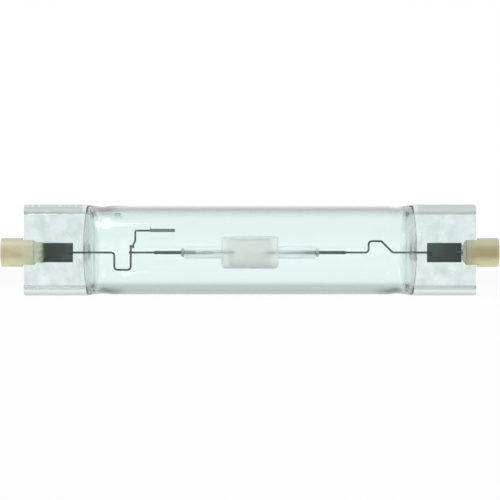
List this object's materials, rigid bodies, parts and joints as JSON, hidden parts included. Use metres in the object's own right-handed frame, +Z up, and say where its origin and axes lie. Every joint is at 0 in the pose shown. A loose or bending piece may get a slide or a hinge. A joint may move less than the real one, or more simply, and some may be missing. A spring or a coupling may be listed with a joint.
{
  "type": "metal halide lamp",
  "caption": "Double-ended metal halide lamp: a clear quartz tube with flat pinch seals, recessed ceramic end caps and a small ceramic arc tube inside.",
  "frame": {"origin": "light centre: the centre of the outer bulb, on its centre line, midway between the contact faces", "axes": "+X along the lamp towards the end without the getter, +Z up across the pinch seals, which stand in the XZ plane and rest on their lower edges"},
  "size_m": [0.1176, 0.021, 0.0216],
  "materials": {
    "quartz": "gloss",
    "alumina": "satin",
    "cap_ceramic": "gloss",
    "cement": "matte",
    "frit": "gloss",
    "nickel": "gloss",
    "molybdenum": "satin",
    "foil": "satin",
    "niobium": "satin",
    "tungsten": "satin",
    "tray_steel": "satin",
    "getter_alloy": "matte"
  },
  "bodies": {
    "root": {"arc_body": "alumina", "arc_capillary_left": "alumina", "arc_capillary_right": "alumina", "arc_plug_left": "alumina", "arc_plug_right": "alumina", "cap_cement_left": "cement", "cap_cement_right": "cement", "cap_contact_left": "nickel", "cap_contact_right": "nickel", "cap_left": "cap_ceramic", "cap_right": "cap_ceramic", "electrode_coil_left": "tungsten", "electrode_coil_right": "tungsten", "electrode_left": "tungsten", "electrode_right": "tungsten", "frit_seal_left": "frit", "frit_seal_right": "frit", "getter_alloy": "getter_alloy", "getter_tray": "tray_steel", "getter_wire": "molybdenum", "lead_wire_left": "molybdenum", "lead_wire_right": "molybdenum", "link_wire_left": "molybdenum", "molybdenum_rod_left": "molybdenum", "molybdenum_rod_right": "molybdenum", "niobium_lead_left": "niobium", "niobium_lead_right": "niobium", "outer_bulb": "quartz", "outer_lead_left": "molybdenum", "outer_lead_right": "molybdenum", "seal_foil_left": "foil", "seal_foil_right": "foil"}
  },
  "joints": []
}
